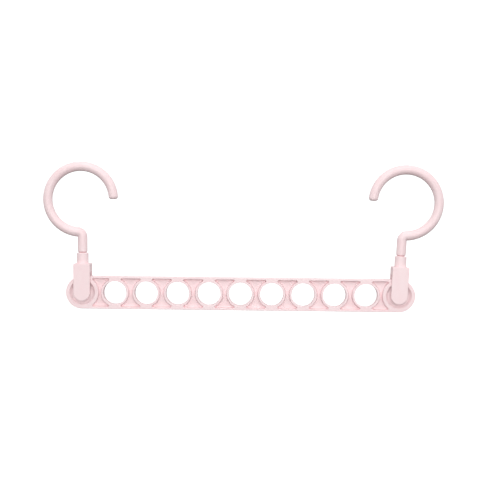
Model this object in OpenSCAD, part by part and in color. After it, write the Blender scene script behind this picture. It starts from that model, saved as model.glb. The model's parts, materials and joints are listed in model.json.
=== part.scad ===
// Nine-ring rotating hanger: a moulded beam with a row of rings, and at each end a fork
// (yoke) on a cross pin, carrying a round plastic hook that turns in the fork's collar.
// X runs along the beam, Z is up, and -Y is the front. The origin is the centre of the
// middle ring. All sizes are in millimetres.

/* [Beam] */
// Number of rings for other hangers' hooks
ring_count = 9; // [5:2:11]
// Centre distance of neighbouring rings
ring_pitch = 31.5; // [31:0.5:36]
// Free diameter of a ring
ring_bore = 23.2; // [20:0.2:23.4]
// Thickness of a ring's wall
ring_wall = 2.3; // [1.8:0.1:2.4]
// Height of the beam, and diameter of its round ends
beam_h = 32.8; // [32.2:0.2:36]
// Depth of the beam from front to back
beam_d = 10; // [8:0.5:12]
// Thickness of the rim along the beam's edges
rim_t = 2.2; // [1.6:0.1:2.2]
// Thickness of the web between the rings
web_t = 2.4; // [1.6:0.2:3.2]
// Distance from the last ring's centre to the pivot
end_reach = 32.75; // [32.5:0.25:38]

/* [Beam ends] */
// Radius of the dish round the pivot at the face
dish_r = 12.8; // [11:0.2:13]
// Radius of the dish at its floor
dish_floor_r = 10.8; // [9:0.2:11]
// Depth of the dish on each face
dish_depth = 2.4; // [1:0.2:3]
// Radius of the boss round the pin, flush with the rim
boss_r = 6.5; // [5:0.5:7.5]

/* [Yoke] */
// Width of the yoke, and diameter of its arms' round ends
yoke_w = 16.6; // [15:0.2:20]
// Thickness of an arm
arm_t = 3.2; // [3:0.1:4]
// Height of the yoke's top above the pivot
yoke_top = 29; // [28:0.5:34]
// Height of the bridge's underside above the pivot
slot_top = 20.6; // [20.6:0.2:22]
// Outer diameter of the collar
collar_dia = 11.6; // [11:0.2:14]
// Height of the collar
collar_h = 10.8; // [6:0.2:14]

/* [Hook] */
// Diameter of the hook's rod
rod_dia = 9.4; // [8:0.2:9.6]
// Radius of the crook at the middle of the rod
crook_r = 33; // [28:0.2:36]
// Height of the crook's centre above the pivot
crook_z = 93.5; // [90:0.5:105]
// Distance of the crook's centre from the stem's axis
crook_offset = 1.8; // [0:0.2:4]
// Angle of the tip's end, measured from the crook's horizontal
tip_angle = 0; // [-20:1:20]
// Radius of the rounding at the tip
tip_round = 3; // [1:0.5:4]

/* [Pose] */
// Outward lean of the left yoke
left_lean = 0.6; // [0:0.2:8]
// Outward lean of the right yoke
right_lean = 2.8; // [0:0.2:8]

/* [Hidden] */
$fn = 96;
past = 1;                // how far a cutter runs past a face

// Beam
pivot_x = (ring_count - 1) / 2 * ring_pitch + end_reach;
face_y = beam_d / 2;
ring_r = ring_bore / 2 + ring_wall;
disc_r = beam_h / 2;
pocket_half = beam_h / 2 - rim_t;
corner_r = 1;            // rounding in a pocket's corners
corner_bite = 0.02;      // how far it cuts into the walls it meets, so that they cross cleanly
corner_z = pocket_half - corner_r + corner_bite;

// Pivot
pin_r = 3.45;
running_gap = 0.05;      // radial clearance of a turning shaft
side_gap = 0.2;          // clearance of each arm from the beam's face
pin_seat = 2;            // depth of the blind seat in the front arm
pin_head_r = 5.2;
pin_head_h = 1.2;
pin_lead = 0.6;          // chamfer on the pin's tip

// Yoke
slot_y = face_y + side_gap;
yoke_y = slot_y + arm_t;
spindle_r = 3.15;

// Hook
rod_r = rod_dia / 2;
stem_r = rod_r + 0.1;    // the stem and its bend are a little stouter than the crook
lap = 1;                 // how far one run of the rod reaches into the next
collar_top = yoke_top + collar_h;
stem_z = collar_top + 0.2;
stem_round = 1.8;        // rounding on the stem's lower edge
bend_r = stem_r + 0.2;   // the bend into the stem has a nearly sharp inner corner
bend_z = crook_z - sqrt(pow(crook_r + bend_r, 2) - pow(bend_r - crook_offset, 2));
bend_angle = atan2(crook_z - bend_z, bend_r - crook_offset);
crook_end = 180 + bend_angle + lap / crook_r * 180 / PI;
crook_start = tip_angle + tip_round / crook_r * 180 / PI;
tip_r = rod_r - 0.05;    // the rounded tip is a hair thinner than the rod it caps
barb_top = slot_top - 0.2;
barb_z = slot_top - 3;
barb_r = 4;
barb_edge = 0.9;         // height of the barb's straight band
barb_tip_r = 2.7;
split_w = 1.4;
split_h = 7;

// A flat outline in X and Z made into a slab of the given thickness, centred on the beam's depth
module slab(thickness) {
    rotate([90, 0, 0]) linear_extrude(height = thickness, center = true) children();
}

// Does the same thing to both faces: the child is drawn for the front
module both_faces() {
    children();
    mirror([0, 1, 0]) children();
}

// How far a pocket's corner lies from the centre of the ring or disc of radius r beside it
function corner_x(r) = sqrt(pow(r + corner_r - corner_bite, 2) - pow(corner_z, 2));

// The pocket between a ring of radius r_left at the origin and one of radius r_right at x = span.
// Its corners are rounded where the rings run into the rim.
module pocket_outline(r_left, r_right, span) {
    left_x = corner_x(r_left);
    right_x = span - corner_x(r_right);
    difference() {
        translate([left_x, -pocket_half]) square([right_x - left_x, 2 * pocket_half]);
        circle(r = r_left);
        translate([span, 0]) circle(r = r_right);
    }
    for (x = [left_x, right_x], z = [-corner_z, corner_z]) translate([x, z]) circle(r = corner_r);
}

// A pocket cut into one face, down to the web
module pocket_cut(r_left, r_right, span) {
    depth = face_y - web_t / 2 + past;
    translate([0, -web_t / 2 - depth / 2, 0]) slab(depth) pocket_outline(r_left, r_right, span);
}

// The dish in one face of a beam end, with the boss left standing in it
module dish_cut() {
    translate([0, -face_y, 0]) rotate([-90, 0, 0]) difference() {
        cylinder(r1 = dish_r, r2 = dish_floor_r, h = dish_depth);
        translate([0, 0, -past]) cylinder(r = boss_r, h = dish_depth + 2 * past);
    }
}

module beam() {
    first_x = -(ring_count - 1) / 2 * ring_pitch;
    color("lightpink") difference() {
        slab(beam_d) {
            square([2 * pivot_x, beam_h], center = true);
            for (side = [-1, 1]) translate([side * pivot_x, 0]) circle(r = disc_r);
        }
        for (i = [0:ring_count - 1]) translate([first_x + i * ring_pitch, 0, 0])
            slab(beam_d + 2 * past) circle(r = ring_bore / 2);
        both_faces() {
            for (i = [0:ring_count - 2]) translate([first_x + i * ring_pitch, 0, 0])
                pocket_cut(ring_r, ring_r, ring_pitch);
            translate([-pivot_x, 0, 0]) pocket_cut(disc_r, ring_r, end_reach);
            translate([-first_x, 0, 0]) pocket_cut(ring_r, disc_r, end_reach);
            for (side = [-1, 1]) translate([side * pivot_x, 0, 0]) dish_cut();
        }
        for (side = [-1, 1]) translate([side * pivot_x, 0, 0])
            slab(beam_d + 2 * past) circle(r = pin_r + running_gap);
    }
}

// The fork, upright, with its pivot at the origin
module yoke() {
    color("pink") difference() {
        union() {
            slab(2 * yoke_y) {
                circle(d = yoke_w);
                translate([-yoke_w / 2, 0]) square([yoke_w, yoke_top]);
            }
            translate([0, 0, yoke_top]) cylinder(d = collar_dia, h = collar_h);
        }
        translate([-yoke_w / 2 - past, -slot_y, -yoke_w / 2 - past])
            cube([yoke_w + 2 * past, 2 * slot_y, slot_top + yoke_w / 2 + past]);
        cylinder(r = spindle_r + running_gap, h = collar_top + past);
        translate([0, yoke_y + past, 0]) rotate([90, 0, 0])
            cylinder(r = pin_r, h = yoke_y + slot_y + pin_seat + past);
        translate([0, yoke_y + past, 0]) rotate([90, 0, 0]) cylinder(r = pin_head_r, h = pin_head_h + past);
    }
}

// The cross pin, pressed in from the back, with its head flush in the rear arm
module pivot_pin() {
    shank = yoke_y + slot_y + pin_seat - pin_lead;
    color("hotpink") translate([0, yoke_y, 0]) rotate([90, 0, 0]) {
        cylinder(r = pin_head_r, h = pin_head_h);
        cylinder(r = pin_r, h = shank);
        translate([0, 0, shank]) cylinder(r1 = pin_r, r2 = pin_r - pin_lead, h = pin_lead);
    }
}

// A round bar from z = top down to z = -rounding, with its lower edge rounded
module rounded_foot(radius, rounding, top) {
    rotate([180, 0, 0]) rotate_extrude() {
        translate([0, -top]) square([radius, top]);
        square([radius - rounding, rounding]);
        intersection() {
            translate([radius - rounding, 0]) circle(r = rounding);
            square([radius, rounding]);
        }
    }
}

// An arc of round rod in the X and Z plane about a centre, from angle a to angle b
module rod_arc(centre, bend, thickness_r, a, b) {
    translate([centre[0], 0, centre[1]]) rotate([90, 0, 0]) rotate([0, 0, a])
        rotate_extrude(angle = b - a) translate([bend, 0]) circle(r = thickness_r);
}

// The split, barbed end that snaps out under the yoke's bridge
module barbed_spindle() {
    difference() {
        union() {
            translate([0, 0, barb_z + 1]) cylinder(r = spindle_r, h = stem_z - barb_z);
            translate([0, 0, barb_top - barb_edge]) cylinder(r = barb_r, h = barb_edge);
            translate([0, 0, barb_z]) cylinder(r1 = barb_tip_r, r2 = barb_r, h = barb_top - barb_edge - barb_z);
        }
        translate([-barb_r - past, -split_w / 2, barb_z - past])
            cube([2 * (barb_r + past), split_w, split_h + past]);
    }
}

// The hook with its stem on the Z axis and its crook closed towards -X; the pivot is the origin
module hook() {
    crook = [-crook_offset, crook_z];
    color("mistyrose") {
        rod_arc(crook, crook_r, rod_r, crook_start, crook_end);
        translate([crook[0] + crook_r * cos(crook_start), 0, crook[1] + crook_r * sin(crook_start)])
            rotate([0, -crook_start, 0]) rounded_foot(tip_r, tip_round, lap);
        rod_arc([-bend_r, bend_z], bend_r, stem_r, 0, bend_angle);
        translate([0, 0, stem_z + stem_round]) rounded_foot(stem_r, stem_round, bend_z - stem_z - stem_round);
        barbed_spindle();
    }
}

// Puts a piece drawn for the left end, with its pivot at the origin, on the left or the right pivot
module at_left() {
    translate([-pivot_x, 0, 0]) rotate([0, -left_lean, 0]) children();
}

module at_right() {
    mirror([1, 0, 0]) translate([-pivot_x, 0, 0]) rotate([0, -right_lean, 0]) children();
}

beam();
at_left() yoke();  // left_yoke
at_right() yoke();  // right_yoke
at_left() pivot_pin();  // left_pivot_pin
at_right() pivot_pin();  // right_pivot_pin
at_left() hook();  // left_hook
at_right() hook();  // right_hook
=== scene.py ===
"""Visual model of the nine-ring rotating hanger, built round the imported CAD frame.

Shapes are built in millimetres and scaled to metres when they become meshes. Their places and
main sizes come from the frame's boxes, joints and mounts; the small moulding details are below.
"""

import json
import math

import bmesh
import bpy
from mathutils import Matrix, Vector
from mathutils.geometry import delaunay_2d_cdt


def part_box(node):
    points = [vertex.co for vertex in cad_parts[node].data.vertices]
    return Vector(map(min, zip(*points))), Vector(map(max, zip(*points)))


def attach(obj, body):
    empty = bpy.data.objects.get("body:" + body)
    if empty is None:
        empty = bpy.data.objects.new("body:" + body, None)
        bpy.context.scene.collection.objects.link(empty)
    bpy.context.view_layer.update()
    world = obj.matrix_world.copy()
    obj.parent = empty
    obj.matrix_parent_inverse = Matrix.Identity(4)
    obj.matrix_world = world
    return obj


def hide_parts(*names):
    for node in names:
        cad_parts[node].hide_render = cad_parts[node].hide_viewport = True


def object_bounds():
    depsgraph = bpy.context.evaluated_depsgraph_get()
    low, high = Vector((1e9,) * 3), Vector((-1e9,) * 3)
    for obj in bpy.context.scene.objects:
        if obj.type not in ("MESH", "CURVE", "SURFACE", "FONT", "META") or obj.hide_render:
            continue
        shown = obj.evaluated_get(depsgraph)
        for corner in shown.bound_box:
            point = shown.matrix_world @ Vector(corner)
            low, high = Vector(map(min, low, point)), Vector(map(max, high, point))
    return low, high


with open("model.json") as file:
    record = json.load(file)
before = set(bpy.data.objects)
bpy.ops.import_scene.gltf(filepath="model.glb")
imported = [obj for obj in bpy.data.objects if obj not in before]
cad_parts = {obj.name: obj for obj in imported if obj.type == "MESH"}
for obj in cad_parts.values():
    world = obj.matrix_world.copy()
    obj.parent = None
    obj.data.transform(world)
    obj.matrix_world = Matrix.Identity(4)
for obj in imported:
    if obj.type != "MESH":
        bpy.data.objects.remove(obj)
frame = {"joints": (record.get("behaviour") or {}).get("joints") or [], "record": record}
cad_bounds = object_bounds()

MM = 0.001
JOINTS = {joint["name"]: joint for joint in frame["joints"]}
MOUNTS = {mount["name"]: mount for mount in frame["record"]["mounts"]}
SIDES = ("left", "right")


def box_mm(node):
    """Lowest and highest corner of a CAD node, in millimetres."""
    low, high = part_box(node)
    return low / MM, high / MM


# ---- Main sizes, read from the frame ----

beam_low, beam_high = box_mm("beam")
yoke_low, yoke_high = box_mm("left_yoke")
pin_low, pin_high = box_mm("left_pivot_pin")

PIVOT_X = JOINTS["right_yoke_pivot"]["pos_m"][0] / MM
DISC_R = (beam_high.z - beam_low.z) / 2
FACE_Y = (beam_high.y - beam_low.y) / 2
RINGS = sorted(m["pos_m"][0] / MM for m in MOUNTS.values() if m["name"].startswith("hole_"))
BORE_R = MOUNTS["hole_1"]["dims"]["r_mm"]
YOKE_Y = (yoke_high.y - yoke_low.y) / 2
PIN_HEAD_R = (pin_high.z - pin_low.z) / 2
PIN_FRONT_Y = pin_low.y

# ---- Moulding details, in millimetres ----

RING_WALL = 2.3
RIM = 2.25                  # rim along the beam's edges, at the pockets' mean outline
WEB = 2.4
POCKET_DEPTH = FACE_Y - WEB / 2
CORNER_R = 1.0
CORNER_LEAST_R = 0.12
EDGE_R = 0.5                # rounding of the beam's outer edges
BORE_EDGE_R = 0.35
FLASH = 0.04                # the mould's parting line stands this proud
BOSS_R = 6.5
DISH_DEPTH = 2.4
PIN_R = 3.45
PIN_BORE_R = PIN_R + 0.05
PIN_HEAD_H = 1.2
GATE_DEPTH = 0.18           # of the turned-in gate mark on a pin's head

YOKE_W = 8.3                # half the yoke's width
YOKE_TOP = 29.0
SLOT_TOP = 20.6
SLOT_Y = FACE_Y + 0.2
YOKE_EDGE_R = 0.5
YOKE_CORNER_R = 1.0
COLLAR_R = 5.8
COLLAR_TOP = 39.8
COLLAR_EDGE_R = 1.0
COLLAR_FILLET_R = 0.25
SPINDLE_R = 3.15
SPINDLE_GAP = 0.05

ROD_R = 4.7
STEM_R = 4.8
STEM_FOOT_Z = COLLAR_TOP + 0.2
STEM_ROUND = 1.8
CROOK_R = 33.0
BEND_R = 5.0
TIP_ROUND = 3.0
TIP_ANGLE = 0.0
BARB_R = 4.0
BARB_TOP = SLOT_TOP - 0.2
BARB_FOOT = SLOT_TOP - 3.0
SPLIT_W = 1.4
SPLIT_TOP = BARB_FOOT + 6.0

# ---- Fineness ----

CIRCLE_STEPS = 96
ROD_STEPS = 96
YOKE_STEPS = 64
STRAIGHT_STEPS = 80         # along the beam's straight edges
WALL_STEPS = 32             # round a pocket's wall
RIM_STEPS = 10              # along a pocket's straight edge
CORNER_STEPS = 9            # round a pocket's corner
STEM_STEPS = 9
BEND_STEPS = 16
CROOK_STEPS = 150
TAPER_STEPS = 12            # over which the stem's thickness runs out into the crook
TIP_STEPS = 10
SHARP_ANGLE = math.radians(40)


# ---- Mesh tools ----

class Shell:
    """Collects points and faces in millimetres; points that coincide are shared."""

    def __init__(self):
        self.points = []
        self.faces = []
        self.index = {}

    def point(self, place):
        key = tuple(round(c, 4) for c in place)
        if key not in self.index:
            self.index[key] = len(self.points)
            self.points.append(key)
        return self.index[key]

    def face(self, places):
        corners = []
        for place in places:
            i = self.point(place)
            if i not in corners:
                corners.append(i)
        if len(corners) > 2:
            self.faces.append(corners)

    def strip(self, a, b, closed=True):
        """Quads between two rows with the same number of points."""
        count = len(a)
        for i in range(count if closed else count - 1):
            j = (i + 1) % count
            self.face((a[i], a[j], b[j], b[i]))

    def stack(self, rows, closed=True):
        for a, b in zip(rows, rows[1:]):
            self.strip(a, b, closed)

    def fan(self, row, centre):
        for a, b in zip(row, row[1:] + row[:1]):
            self.face((a, b, centre))

    def flat(self, outline, holes, place):
        """Fills a flat outline, less its holes. place turns a flat point into one in space."""
        corners = []
        loops = []
        for loop in [outline] + holes:
            loops.append(list(range(len(corners), len(corners) + len(loop))))
            corners += loop
        result = delaunay_2d_cdt([Vector(corner) for corner in corners], [], loops, 1, 1e-6, True)
        triangles, origins, sources = result[2], result[3], result[5]
        for triangle, source in zip(triangles, sources):
            if list(source) == [0]:
                self.face([place(*corners[origins[i][0]]) for i in triangle])

    def mesh(self, name, placement=Matrix.Identity(4)):
        """The shell as a closed mesh in metres, its faces turned outwards."""
        bm = bmesh.new()
        verts = [bm.verts.new(placement @ (Vector(p) * MM)) for p in self.points]
        for corners in self.faces:
            bm.faces.new([verts[i] for i in corners])
        bmesh.ops.recalc_face_normals(bm, faces=bm.faces)
        data = bpy.data.meshes.new(name)
        bm.to_mesh(data)
        bm.free()
        return data


def link(name, data):
    obj = bpy.data.objects.new(name, data)
    bpy.context.scene.collection.objects.link(obj)
    return obj


def smooth(obj):
    """Smooth shading that keeps true corners sharp and flat faces flat."""
    obj.data.shade_smooth()
    obj.data.set_sharp_from_angle(angle=SHARP_ANGLE)
    weighted = obj.modifiers.new("even_normals", "WEIGHTED_NORMAL")
    weighted.keep_sharp = True
    return obj


def install(obj, body, node, material):
    """Gives a finished piece its material, smooth shading and its body, and hides the CAD node it stands
    for.
    """
    obj.data.materials.clear()
    obj.data.materials.append(material)
    smooth(obj)
    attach(obj, body)
    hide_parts(node)
    return obj


def circle(x, z, radius, steps=CIRCLE_STEPS):
    turn = [2 * math.pi * i / steps for i in range(steps)]
    return [(x + radius * math.cos(t), z + radius * math.sin(t)) for t in turn]


def arc(x, z, radius, start, end, steps):
    """Points of an arc, both ends included."""
    turn = [start + (end - start) * i / steps for i in range(steps + 1)]
    return [(x + radius * math.cos(t), z + radius * math.sin(t)) for t in turn]


def between(a, b, steps):
    """Points between two flat points, neither end included."""
    share = [i / steps for i in range(1, steps)]
    return [(a[0] + (b[0] - a[0]) * s, a[1] + (b[1] - a[1]) * s) for s in share]


def at_depth(loop, y):
    return [(x, y, z) for x, z in loop]


def rounding(radius, steps=5):
    """Profile of a rounded edge as (how far in from the wall, how far below the face)."""
    turn = [math.pi / 2 * i / steps for i in range(steps + 1)]
    return [(radius * (1 - math.sin(t)), radius * (1 - math.cos(t))) for t in turn]


def side_matrix(side):
    """From a yoke's own upright frame, drawn for the left end, to the row frame."""
    pivot = Vector(JOINTS[side + "_yoke_pivot"]["pos_m"])
    axis = JOINTS[side + "_hook_swivel"]["axis"]
    lean = math.atan2(axis[0], axis[2])
    mirror = -1 if side == "right" else 1
    return (
        Matrix.Translation(pivot)
        @ Matrix.Rotation(lean, 4, "Y")
        @ Matrix.Diagonal((mirror, 1, 1, 1))
    )


def crook_centre():
    """The crook's centre in the left yoke's upright frame."""
    centre = Vector(MOUNTS["left_crook"]["pos_m"])
    return side_matrix("left").inverted() @ centre / MM


# ---- Beam ----

def beam_outline(inset):
    """The beam's outline, moved inwards by inset."""
    radius = DISC_R - inset
    half_turn = CIRCLE_STEPS // 2
    right = arc(PIVOT_X, 0, radius, -math.pi / 2, math.pi / 2, half_turn)
    left = arc(-PIVOT_X, 0, radius, math.pi / 2, 3 * math.pi / 2, half_turn)
    top = between(right[-1], left[0], STRAIGHT_STEPS)
    bottom = between(left[-1], right[0], STRAIGHT_STEPS)
    return right + top + left + bottom


def pocket_loop(left_x, left_r, right_x, right_r, inset):
    """The outline of a pocket between two round walls, moved inwards by inset."""
    half = DISC_R - RIM - inset
    corner = max(CORNER_R - inset, CORNER_LEAST_R)
    centre_z = half - corner
    left_out = math.sqrt((left_r + inset + corner) ** 2 - centre_z ** 2)
    right_out = math.sqrt((right_r + inset + corner) ** 2 - centre_z ** 2)
    left_turn = math.atan2(centre_z, left_out)
    right_turn = math.atan2(centre_z, right_out)
    quarter = math.pi / 2

    def corner_arc(x, z, start, end):
        return arc(x, z, corner, start, end, CORNER_STEPS)

    low_left = corner_arc(left_x + left_out, -centre_z, math.pi - left_turn, 3 * quarter)
    low_right = corner_arc(right_x - right_out, -centre_z, -quarter, right_turn)
    top_right = corner_arc(right_x - right_out, centre_z, -right_turn, quarter)
    top_left = corner_arc(left_x + left_out, centre_z, quarter, math.pi + left_turn)
    left_wall = arc(left_x, 0, left_r + inset, left_turn, -left_turn, WALL_STEPS)
    right_wall = arc(
        right_x, 0, right_r + inset, math.pi + right_turn, math.pi - right_turn, WALL_STEPS
    )
    return (
        left_wall[:-1]
        + low_left
        + between(low_left[-1], low_right[0], RIM_STEPS)
        + low_right[:-1]
        + right_wall[:-1]
        + top_right
        + between(top_right[-1], top_left[0], RIM_STEPS)
        + top_left[:-1]
    )


def pockets():
    """Both walls of each pocket along the beam, as (left x, radius, right x, radius)."""
    ring_r = BORE_R + RING_WALL
    walls = [(-PIVOT_X, DISC_R)] + [(x, ring_r) for x in RINGS] + [(PIVOT_X, DISC_R)]
    return [a + b for a, b in zip(walls, walls[1:])]


# A pocket's wall as (inset, depth): rounded lip, drafted wall, fillet into the web
POCKET_WALL = [
    (-0.60, 0.0), (-0.47, 0.03), (-0.36, 0.10), (-0.28, 0.22), (-0.23, 0.40),
    (0.02, 1.5), (0.28, 2.7), (0.36, 3.1), (0.48, 3.42), (0.64, 3.65), (0.82, 3.77),
    (1.0, POCKET_DEPTH),
]

# The dish round a pivot as (radius, depth): lip, cone, floor, boss and the pin's bore
DISH_WALL = [
    (13.2, 0.0), (13.0, 0.03), (12.84, 0.12), (12.7, 0.26), (11.4, 1.75), (11.15, 2.0),
    (10.8, 2.2), (10.35, 2.34), (9.8, DISH_DEPTH), (BOSS_R + 0.9, DISH_DEPTH),
    (BOSS_R + 0.5, 2.33), (BOSS_R + 0.2, 2.12), (BOSS_R + 0.02, 1.8), (BOSS_R, 1.5),
    (BOSS_R, 0.4), (BOSS_R - 0.08, 0.18), (BOSS_R - 0.25, 0.05), (BOSS_R - 0.5, 0.0),
    (PIN_BORE_R + 0.45, 0.0), (PIN_BORE_R + 0.2, 0.08), (PIN_BORE_R + 0.05, 0.25),
    (PIN_BORE_R, 0.5), (PIN_BORE_R, FACE_Y),
]


def beam_half(shell, side):
    """One half of the beam, from a face (side -1 is the front) to the middle plane."""
    def on_face(x, z):
        return (x, side * FACE_Y, z)

    outer = [(FLASH + inset, depth) for inset, depth in rounding(EDGE_R)]
    outer += [(FLASH, FACE_Y - 0.12), (0.0, FACE_Y)]
    shell.stack([at_depth(beam_outline(inset), side * (FACE_Y - depth)) for inset, depth in outer])

    bore = [(BORE_R + inset, depth) for inset, depth in rounding(BORE_EDGE_R)] + [(BORE_R, FACE_Y)]
    holes = []
    for x in RINGS:
        rows = [circle(x, 0, radius) for radius, depth in bore]
        shell.stack([at_depth(row, side * (FACE_Y - d[1])) for row, d in zip(rows, bore)])
        holes.append(rows[0])

    for pocket in pockets():
        rows = [pocket_loop(*pocket, inset) for inset, depth in POCKET_WALL]
        depths = [depth for inset, depth in POCKET_WALL]
        shell.stack([at_depth(row, side * (FACE_Y - depth)) for row, depth in zip(rows, depths)])
        shell.flat(rows[-1], [], lambda u, v: (u, side * (FACE_Y - depths[-1]), v))
        holes.append(rows[0])

    for x in (-PIVOT_X, PIVOT_X):
        rows = [circle(x, 0, radius) for radius, depth in DISH_WALL]
        shell.stack([at_depth(row, side * (FACE_Y - d[1])) for row, d in zip(rows, DISH_WALL)])
        holes.append(rows[0])

    shell.flat(beam_outline(outer[0][0]), holes, on_face)


def make_beam():
    shell = Shell()
    beam_half(shell, -1)
    beam_half(shell, 1)
    return link("beam_moulding", shell.mesh("beam_moulding"))


# ---- Yoke ----

EDGE_Y = YOKE_Y - YOKE_EDGE_R   # depth at which the rounded outer edge begins

# The pin head's recess in the rear arm as (radius, depth)
PIN_RECESS = [
    (PIN_HEAD_R + 0.3, 0.0), (PIN_HEAD_R + 0.1, 0.06), (PIN_HEAD_R + 0.03, 0.25),
    (PIN_HEAD_R + 0.03, PIN_HEAD_H), (PIN_R, PIN_HEAD_H), (PIN_R, YOKE_Y - SLOT_Y),
]


def arch(inset):
    """The right half of the yoke's front outline, moved inwards by inset.

    It runs from the foot's lowest point to the middle of the top, as foot, side, corner and top.
    """
    wide = YOKE_W - inset
    foot = arc(0, 0, wide, -math.pi / 2, 0, 20)
    side = [(wide, z) for z in (SLOT_TOP / 2, SLOT_TOP, (SLOT_TOP + YOKE_TOP - YOKE_CORNER_R) / 2)]
    corner_r = YOKE_CORNER_R - inset
    corner_x = YOKE_W - YOKE_CORNER_R
    corner = arc(corner_x, YOKE_TOP - YOKE_CORNER_R, corner_r, 0, math.pi / 2, 6)
    top = [(corner_x * s, YOKE_TOP - inset) for s in (0.75, 0.5, 0.25, 0.0)]
    return foot, side, corner, top


def arch_loop(inset):
    """The whole closed outline, anticlockwise from the foot's lowest point."""
    foot, side, corner, top = arch(inset)
    right = foot + side + corner + top
    left = [(-x, z) for x, z in reversed(right[1:-1])]
    return right + left


def mirrored(points):
    return [(-x, z) for x, z in points]


def yoke_arm(shell, face):
    """One arm (face -1 is the front one), from its outer face to the slot, and the block above."""
    foot, sides, corner, top = arch(0)
    lip = rounding(YOKE_EDGE_R)
    shell.stack([at_depth(arch_loop(inset), face * (YOKE_Y - depth)) for inset, depth in lip])
    for edge in (foot + sides + corner, mirrored(foot + sides + corner)):
        shell.strip(at_depth(edge, face * EDGE_Y), at_depth(edge, face * SLOT_Y), closed=False)

    bore = circle(0, 0, PIN_R, YOKE_STEPS)
    arm = foot + sides[:2]
    arm_top = [(YOKE_W * s, SLOT_TOP) for s in (0.5, 0.0, -0.5)]
    inner_loop = arm + arm_top + mirrored(reversed(arm[1:]))
    shell.flat(inner_loop, [bore], lambda u, v: (u, face * SLOT_Y, v))

    outer_loop = arch_loop(lip[0][0])
    if face < 0:
        seat_y = PIN_FRONT_Y - 0.05
        shell.strip(at_depth(bore, -SLOT_Y), at_depth(bore, seat_y))
        shell.flat(bore, [], lambda u, v: (u, seat_y, v))
        shell.flat(outer_loop, [], lambda u, v: (u, -YOKE_Y, v))
    else:
        rows = [circle(0, 0, radius, YOKE_STEPS) for radius, depth in PIN_RECESS]
        shell.stack([at_depth(row, YOKE_Y - d[1]) for row, d in zip(rows, PIN_RECESS)])
        shell.flat(outer_loop, [rows[0]], lambda u, v: (u, YOKE_Y, v))


def collar_profile():
    """The collar and the spindle's bore as (radius, height), from the block's top to the slot."""
    bore_r = SPINDLE_R + SPINDLE_GAP
    foot = [(COLLAR_R + inset, YOKE_TOP + rise) for inset, rise in rounding(COLLAR_FILLET_R)]
    edge = [(COLLAR_R - inset, COLLAR_TOP - drop) for inset, drop in rounding(COLLAR_EDGE_R)]
    lip = [(bore_r + inset, COLLAR_TOP - drop) for inset, drop in rounding(0.3, 3)]
    return foot + edge[::-1] + lip + [(bore_r, SLOT_TOP)]


def yoke_block(shell):
    """The block between the arms, with the collar on top and the slot's ceiling below."""
    foot, sides, corner, top = arch(0)
    for edge in (sides[1:] + corner, mirrored(sides[1:] + corner)):
        shell.strip(at_depth(edge, -SLOT_Y), at_depth(edge, SLOT_Y), closed=False)

    profile = collar_profile()
    rings = [circle(0, 0, radius, YOKE_STEPS) for radius, z in profile]
    shell.stack([[(x, y, z) for x, y in ring] for ring, (radius, z) in zip(rings, profile)])

    corner_x = YOKE_W - YOKE_CORNER_R
    top_x = [corner_x] + [x for x, z in top] + [-x for x, z in reversed(top[:-1])] + [-corner_x]
    outline = [(x, EDGE_Y) for x in top_x] + [(-corner_x, SLOT_Y), (-corner_x, -SLOT_Y)]
    outline += [(x, -EDGE_Y) for x in reversed(top_x)] + [(corner_x, -SLOT_Y), (corner_x, SLOT_Y)]
    shell.flat(outline, [rings[0]], lambda u, v: (u, v, YOKE_TOP))

    ceiling_x = [YOKE_W * s for s in (1, 0.5, 0.0, -0.5, -1)]
    ceiling = [(x, SLOT_Y) for x in ceiling_x] + [(x, -SLOT_Y) for x in reversed(ceiling_x)]
    shell.flat(ceiling, [rings[-1]], lambda u, v: (u, v, SLOT_TOP))


def make_yoke(side):
    shell = Shell()
    yoke_arm(shell, -1)
    yoke_arm(shell, 1)
    yoke_block(shell)
    name = side + "_yoke_moulding"
    return link(name, shell.mesh(name, side_matrix(side)))


# ---- Pivot pin ----

def make_pin(side):
    """A headed pin along Y; its head has a shallow turned-in gate mark."""
    front = PIN_FRONT_Y
    profile = [
        (0.0, YOKE_Y - GATE_DEPTH), (0.7, YOKE_Y - GATE_DEPTH), (0.95, YOKE_Y - 0.12), (1.2, YOKE_Y - 0.03),
        (1.5, YOKE_Y), (PIN_HEAD_R - 0.3, YOKE_Y), (PIN_HEAD_R - 0.1, YOKE_Y - 0.06),
        (PIN_HEAD_R, YOKE_Y - 0.25), (PIN_HEAD_R, YOKE_Y - PIN_HEAD_H), (PIN_R - 0.02, YOKE_Y - PIN_HEAD_H),
        (PIN_R - 0.02, front + 0.7), (PIN_R - 0.15, front + 0.4), (PIN_R - 0.6, front), (0.0, front),
    ]
    shell = Shell()
    rows = [at_depth(circle(0, 0, radius, YOKE_STEPS), y) for radius, y in profile[1:-1]]
    shell.stack(rows)
    shell.fan(rows[0], (0, profile[0][1], 0))
    shell.fan(rows[-1], (0, profile[-1][1], 0))
    name = side + "_pivot_pin_moulding"
    return link(name, shell.mesh(name, side_matrix(side)))


# ---- Hook ----

def rod_ring(x, z, heading, radius, flash):
    """One ring of the rod round a path point. heading is the path's angle in the X and Z plane."""
    side_x = math.sin(heading)
    side_z = -math.cos(heading)
    ring = []
    for i in range(ROD_STEPS):
        turn = 2 * math.pi * i / ROD_STEPS
        out = radius + (flash if i % (ROD_STEPS // 2) == 0 else 0)
        along = out * math.cos(turn)
        ring.append((x + along * side_x, out * math.sin(turn), z + along * side_z))
    return ring


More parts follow.
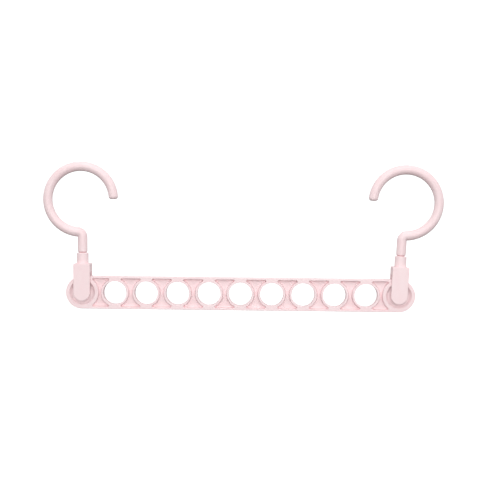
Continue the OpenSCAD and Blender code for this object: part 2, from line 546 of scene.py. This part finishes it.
def spindle_profile():
    """The barbed spindle and the stem's rounded foot, as (radius, height) from the barb up."""
    profile = [
        (2.1, BARB_FOOT), (2.45, BARB_FOOT + 0.07), (2.75, BARB_FOOT + 0.3), (3.85, BARB_FOOT + 1.8),
        (3.97, BARB_FOOT + 2.0), (BARB_R, BARB_FOOT + 2.2), (BARB_R, BARB_TOP - 0.2),
        (3.95, BARB_TOP - 0.07), (3.8, BARB_TOP), (3.25, BARB_TOP), (SPINDLE_R, BARB_TOP + 0.1),
        (SPINDLE_R, STEM_FOOT_Z - 0.1), (SPINDLE_R + 0.1, STEM_FOOT_Z),
    ]
    foot = [(STEM_R - inset, STEM_FOOT_Z + depth) for inset, depth in rounding(STEM_ROUND, 8)]
    return profile + foot


def rod_path():
    """The rod from the stem's foot to the tip, as (x, z, heading, radius)."""
    centre = crook_centre()
    drop = math.sqrt((CROOK_R + BEND_R) ** 2 - (BEND_R + centre.x) ** 2)
    bend_z = centre.z - drop
    bend_angle = math.atan2(drop, BEND_R + centre.x)
    path = []
    stem_low = STEM_FOOT_Z + STEM_ROUND
    for i in range(1, STEM_STEPS):
        path.append((0, stem_low + (bend_z - stem_low) * i / STEM_STEPS, math.pi / 2, STEM_R))
    for i in range(BEND_STEPS + 1):
        turn = bend_angle * i / BEND_STEPS
        x = -BEND_R + BEND_R * math.cos(turn)
        path.append((x, bend_z + BEND_R * math.sin(turn), math.pi / 2 + turn, STEM_R))
    start = math.pi + bend_angle
    end = TIP_ANGLE + TIP_ROUND / CROOK_R
    for i in range(1, CROOK_STEPS + 1):
        turn = start + (end - start) * i / CROOK_STEPS
        radius = ROD_R + (STEM_R - ROD_R) * max(0.0, 1 - i / TAPER_STEPS)
        x = centre.x + CROOK_R * math.cos(turn)
        path.append((x, centre.z + CROOK_R * math.sin(turn), turn - math.pi / 2, radius))
    for i in range(1, TIP_STEPS + 1):
        across = math.pi / 2 * i / TIP_STEPS
        turn = end - TIP_ROUND * math.sin(across) / CROOK_R
        radius = ROD_R - TIP_ROUND * (1 - math.cos(across))
        x = centre.x + CROOK_R * math.cos(turn)
        path.append((x, centre.z + CROOK_R * math.sin(turn), turn - math.pi / 2, radius))
    return path


def cut_split(obj):
    """Saws the slot through the barb, so that its two halves can spring together."""
    half = Vector((BARB_R + 1, SPLIT_W / 2, (SPLIT_TOP - BARB_FOOT + 1) / 2))
    centre = Vector((0, 0, SPLIT_TOP - half.z))
    placing = Matrix.Translation(centre * MM) @ Matrix.Diagonal((*(half * MM), 1))
    saw = bmesh.new()
    bmesh.ops.create_cube(saw, size=2, matrix=placing)
    data = bpy.data.meshes.new("saw")
    saw.to_mesh(data)
    saw.free()
    cutter = link("saw", data)
    cut = obj.modifiers.new("split", "BOOLEAN")
    cut.operation = "DIFFERENCE"
    cut.solver = "EXACT"
    cut.object = cutter
    bpy.context.view_layer.update()
    result = bpy.data.meshes.new_from_object(obj.evaluated_get(bpy.context.evaluated_depsgraph_get()))
    obj.modifiers.clear()
    obj.data = result
    bpy.data.objects.remove(cutter)


def make_hook(side):
    shell = Shell()
    rows = [rod_ring(0, z, math.pi / 2, radius, 0) for radius, z in spindle_profile()]
    path = rod_path()
    rows += [rod_ring(x, z, heading, radius, FLASH) for x, z, heading, radius in path]
    shell.stack(rows)
    shell.fan(rows[0], (0, 0, BARB_FOOT))
    tip_x, tip_z, tip_heading, tip_r = path[-1]
    shell.fan(rows[-1], (tip_x, 0, tip_z))
    name = side + "_hook_moulding"
    obj = link(name, shell.mesh(name))
    cut_split(obj)
    placement = side_matrix(side)
    obj.data.transform(placement)
    if placement.determinant() < 0:
        obj.data.flip_normals()
    return obj


# ---- Material ----

def node_tree(name):
    material = bpy.data.materials.new(name)
    material.use_nodes = True
    nodes = material.node_tree.nodes
    return material, nodes, material.node_tree.links, nodes["Principled BSDF"]


def noise(nodes, links, coordinates, scale, detail, stretch=(1, 1, 1)):
    """A noise texture over the piece, with features 1 / scale metres across."""
    mapping = nodes.new("ShaderNodeMapping")
    mapping.inputs["Scale"].default_value = stretch
    links.new(coordinates, mapping.inputs["Vector"])
    texture = nodes.new("ShaderNodeTexNoise")
    texture.inputs["Scale"].default_value = scale
    texture.inputs["Detail"].default_value = detail
    links.new(mapping.outputs["Vector"], texture.inputs["Vector"])
    return texture.outputs["Fac"]


def map_range(nodes, links, value, low, high, from_low=0.3, from_high=0.7):
    ranged = nodes.new("ShaderNodeMapRange")
    ranged.inputs["From Min"].default_value = from_low
    ranged.inputs["From Max"].default_value = from_high
    ranged.inputs["To Min"].default_value = low
    ranged.inputs["To Max"].default_value = high
    links.new(value, ranged.inputs["Value"])
    return ranged.outputs["Result"]


def mix_colour(nodes, links, factor, a, b):
    mix = nodes.new("ShaderNodeMix")
    mix.data_type = "RGBA"
    links.new(factor, mix.inputs["Factor"])
    for socket, value in ((mix.inputs["A"], a), (mix.inputs["B"], b)):
        if isinstance(value, tuple):
            socket.default_value = (*value, 1)
        else:
            links.new(value, socket)
    return mix.outputs["Result"]


def moulded_plastic(name, colour, deep, roughness, flow):
    """Satin moulded polypropylene: cloudy pigment, faint flow lines, a fine spark-eroded skin,
    and painted shade: a deeper tone in the grooves and creases, found by ambient occlusion, standing in for
    the shade that falls there."""
    material, nodes, links, shader = node_tree(name)
    coordinates = nodes.new("ShaderNodeTexCoord").outputs["Object"]

    cloud = map_range(nodes, links, noise(nodes, links, coordinates, 45, 3), 0.0, 0.14)
    streak = map_range(nodes, links, noise(nodes, links, coordinates, 160, 2, flow), 0.0, 0.10)
    cloudy = mix_colour(nodes, links, cloud, colour, deep)
    streaky = mix_colour(nodes, links, streak, cloudy, deep)
    # Painted shade: grooves and creases found by ambient occlusion are darkened towards the deep pink, as
    # shade would darken them
    occlusion = nodes.new("ShaderNodeAmbientOcclusion")
    occlusion.inputs["Distance"].default_value = 1.6 * MM
    occlusion.samples = 8
    painted_crease_shade = map_range(nodes, links, occlusion.outputs["AO"], 0.5, 0.0, 0.2, 0.8)
    links.new(mix_colour(nodes, links, painted_crease_shade, streaky, deep), shader.inputs["Base Color"])

    skin = noise(nodes, links, coordinates, 900, 4)
    patchy = map_range(nodes, links, skin, roughness - 0.06, roughness + 0.08)
    links.new(patchy, shader.inputs["Roughness"])

    grain = nodes.new("ShaderNodeBump")
    grain.inputs["Strength"].default_value = 0.10
    grain.inputs["Distance"].default_value = 0.04 * MM
    links.new(noise(nodes, links, coordinates, 3200, 3), grain.inputs["Height"])
    ripple = nodes.new("ShaderNodeBump")
    ripple.inputs["Strength"].default_value = 0.25
    ripple.inputs["Distance"].default_value = 0.12 * MM
    links.new(noise(nodes, links, coordinates, 110, 1, flow), ripple.inputs["Height"])
    links.new(grain.outputs["Normal"], ripple.inputs["Normal"])
    links.new(ripple.outputs["Normal"], shader.inputs["Normal"])

    shader.inputs["IOR"].default_value = 1.49
    return material


# ---- Studio ----

def look_at(obj, place, target, roll=0.0):
    aim = (Vector(target) - Vector(place)).to_track_quat("-Z", "Y").to_matrix().to_4x4()
    obj.matrix_world = Matrix.Translation(Vector(place)) @ aim @ Matrix.Rotation(roll, 4, "Z")


def make_studio(middle):
    """A pale round floor that sweeps up into a wall all round."""
    floor_z = middle.z - 0.75
    reach = 3.2
    sweep = 1.2
    wall_height = 4.0
    steps = 16
    turn = [math.pi / 2 * i / steps for i in range(steps + 1)]
    profile = [(reach - sweep + sweep * math.sin(t), floor_z + sweep * (1 - math.cos(t))) for t in turn]
    profile.append((reach, floor_z + wall_height))
    rings = [[(x / MM, y / MM, z / MM) for x, y in circle(0, 0, radius)] for radius, z in profile]
    shell = Shell()
    shell.stack(rings)
    shell.fan(rings[0], (0, 0, floor_z / MM))
    sweep_obj = link("studio_floor", shell.mesh("studio_floor"))
    sweep_obj.data.shade_smooth()
    material, nodes, links, shader = node_tree("pale_floor")
    shader.inputs["Base Color"].default_value = (0.5, 0.5, 0.5, 1)
    shader.inputs["Roughness"].default_value = 1.0
    shader.inputs["Specular IOR Level"].default_value = 0.0
    shader.inputs["Emission Color"].default_value = (1, 1, 1, 1)
    shader.inputs["Emission Strength"].default_value = 0.85
    sweep_obj.data.materials.append(material)
    sweep_obj.visible_diffuse = False
    sweep_obj.visible_glossy = False
    sweep_obj.visible_shadow = False


def make_lights(middle):
    below = 0.2
    above = 0.9
    world = bpy.data.worlds.new("soft_room")
    world.use_nodes = True
    nodes = world.node_tree.nodes
    links = world.node_tree.links
    room = nodes["Background"]
    room.inputs["Color"].default_value = (1, 1, 1, 1)
    # Dim below and bright above, with a soft change at the horizon
    height = nodes.new("ShaderNodeSeparateXYZ")
    links.new(nodes.new("ShaderNodeTexCoord").outputs["Generated"], height.inputs["Vector"])
    glow = map_range(nodes, links, height.outputs["Z"], below, above, -0.5, 0.5)
    links.new(glow, room.inputs["Strength"])
    bpy.context.scene.world = world
    for name, offset, size, power in (
        ("overhead_softbox", (0.1, -1.1, 1.1), 1.4, 5.5),
        ("front_fill", (0.1, -1.9, 0.15), 1.4, 13.0),
    ):
        data = bpy.data.lights.new(name, "AREA")
        data.shape = "SQUARE"
        data.size = size
        data.energy = power
        lamp = link(name, data)
        look_at(lamp, middle + Vector(offset), middle)


def make_camera():
    """The photo's view: about a metre away, a little above the hanger, and rolled slightly."""
    aim = Vector((0.1 * MM, 0, 50.2 * MM))
    distance = 1.0
    pitch = math.radians(2.2)
    yaw = math.radians(0.5)
    roll = math.radians(0.63)
    back = Vector((math.sin(yaw) * math.cos(pitch), -math.cos(yaw) * math.cos(pitch), math.sin(pitch)))
    data = bpy.data.cameras.new("camera")
    data.lens = 73.4
    data.sensor_width = 36.0
    data.clip_end = 20
    camera = link("camera", data)
    look_at(camera, aim + back * distance, aim, roll)
    bpy.context.scene.camera = camera


# ---- The hanger ----

PINK = (0.935, 0.765, 0.778)
# The deep pink serves both the pigment's clouds and streaks and the painted shade in the grooves
DEEP_PINK = (0.90, 0.52, 0.55)

beam_plastic = moulded_plastic("beam_plastic", PINK, DEEP_PINK, 0.42, (0.25, 1, 1))
yoke_plastic = moulded_plastic("yoke_plastic", PINK, DEEP_PINK, 0.40, (1, 1, 0.25))
pin_plastic = moulded_plastic("pin_plastic", PINK, DEEP_PINK, 0.38, (1, 0.25, 1))
hook_plastic = moulded_plastic("hook_plastic", PINK, DEEP_PINK, 0.36, (1, 1, 0.5))

install(make_beam(), "beam", "beam", beam_plastic)
for side in SIDES:
    install(make_yoke(side), side + "_yoke", side + "_yoke", yoke_plastic)
    install(make_pin(side), side + "_yoke", side + "_pivot_pin", pin_plastic)
    install(make_hook(side), side + "_hook", side + "_hook", hook_plastic)

hanger_middle = (Vector(cad_bounds[0]) + Vector(cad_bounds[1])) / 2
make_studio(hanger_middle)
make_lights(hanger_middle)
make_camera()
bpy.context.scene.view_settings.view_transform = "Standard"
